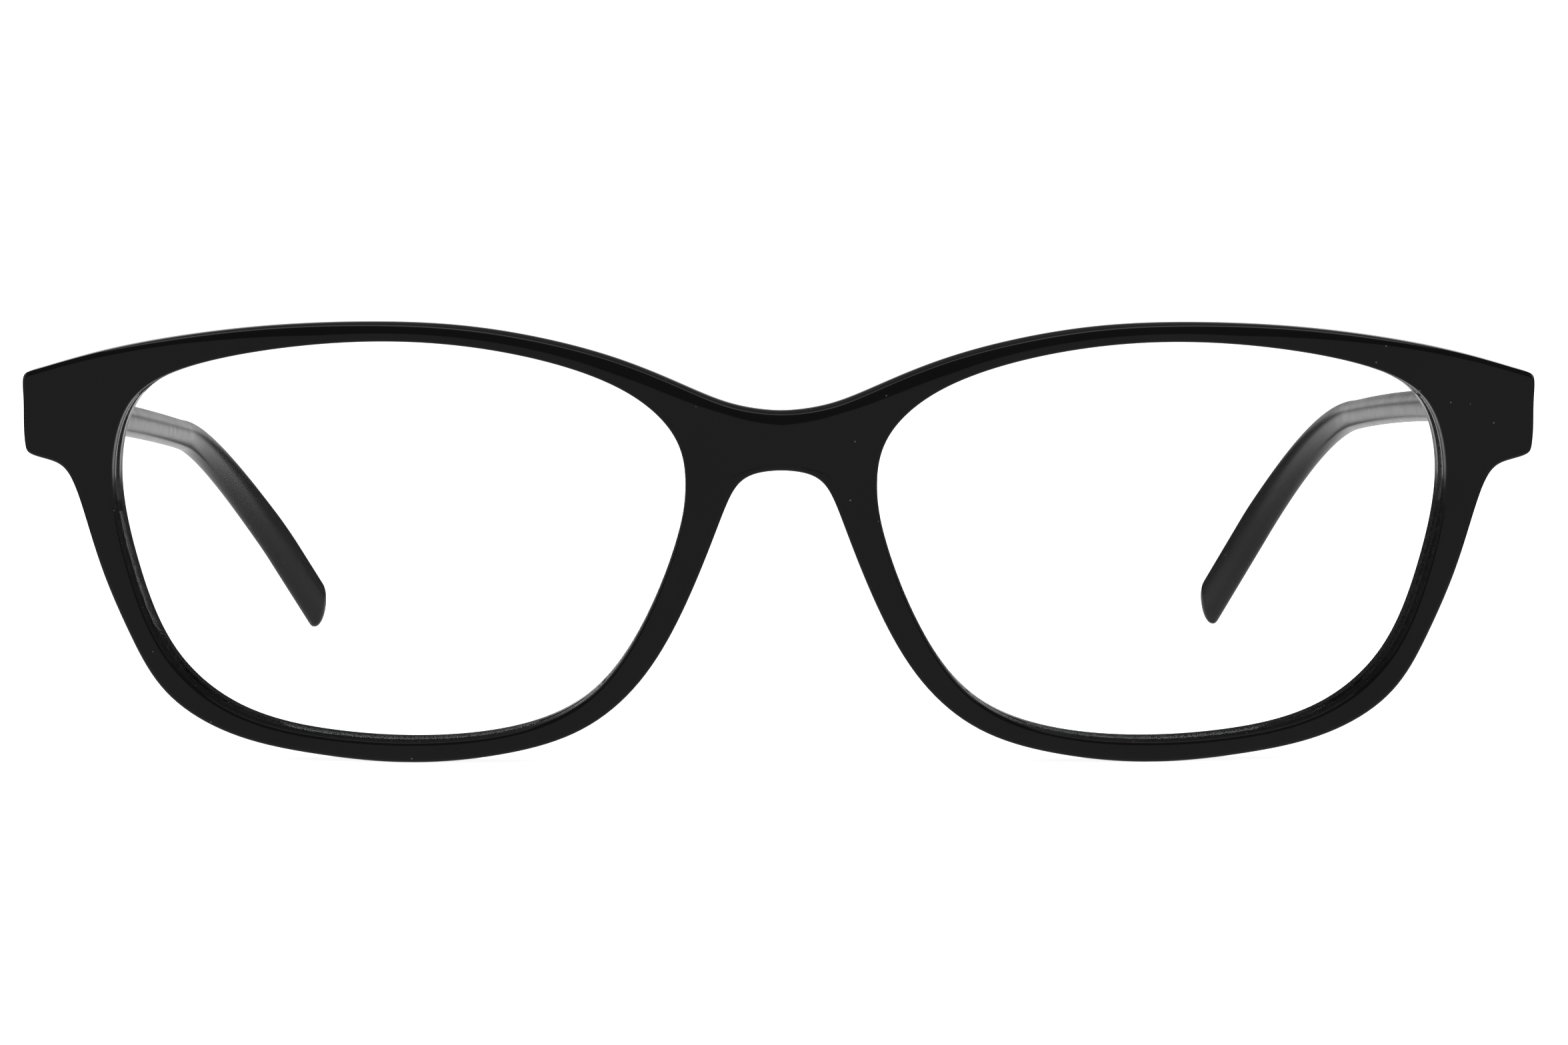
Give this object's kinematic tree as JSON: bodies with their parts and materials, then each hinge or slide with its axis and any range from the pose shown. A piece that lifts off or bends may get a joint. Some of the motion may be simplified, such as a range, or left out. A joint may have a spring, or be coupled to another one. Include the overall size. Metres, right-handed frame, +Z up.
{
  "type": "eyeglasses",
  "caption": "Full-rim eyeglasses with soft rectangular lenses, a saddle bridge, blocky endpieces and slim folding temples bent down behind the ears.",
  "frame": {"origin": "centre of the bounding box, on the surface the open glasses stand on", "axes": "+X to the wearer's left, -Y the way the wearer looks, +Z up; the glasses stand on the rims and the temple tips"},
  "size_m": [0.1382, 0.133, 0.0404],
  "materials": {
    "acetate": "polished",
    "lens": "polished",
    "hinge_metal": "satin",
    "screw_metal": "polished",
    "core_wire": "drawn"
  },
  "bodies": {
    "front_body": {"front": "acetate", "lens_right": "lens", "lens_left": "lens", "nose_pad_right": "acetate", "nose_pad_left": "acetate", "front_hinge_right": "hinge_metal", "front_hinge_left": "hinge_metal", "hinge_screw_right": "screw_metal", "hinge_screw_left": "screw_metal"},
    "right_temple": {"temple_right": "acetate", "temple_hinge_right": "hinge_metal", "temple_core_right": "core_wire"},
    "left_temple": {"temple_left": "acetate", "temple_hinge_left": "hinge_metal", "temple_core_left": "core_wire"}
  },
  "joints": [
    {"name": "left_temple_fold", "type": "hinge", "parent": "front_body", "child": "left_temple", "pos_m": [0.06338, -0.05517, 0.03189], "axis": [0, 0.0769, 0.997], "range_deg": [0, 83]},
    {"name": "right_temple_fold", "type": "hinge", "parent": "front_body", "child": "right_temple", "pos_m": [-0.06338, -0.05517, 0.03189], "axis": [0, -0.0769, -0.997], "range_deg": [0, 60]}
  ]
}
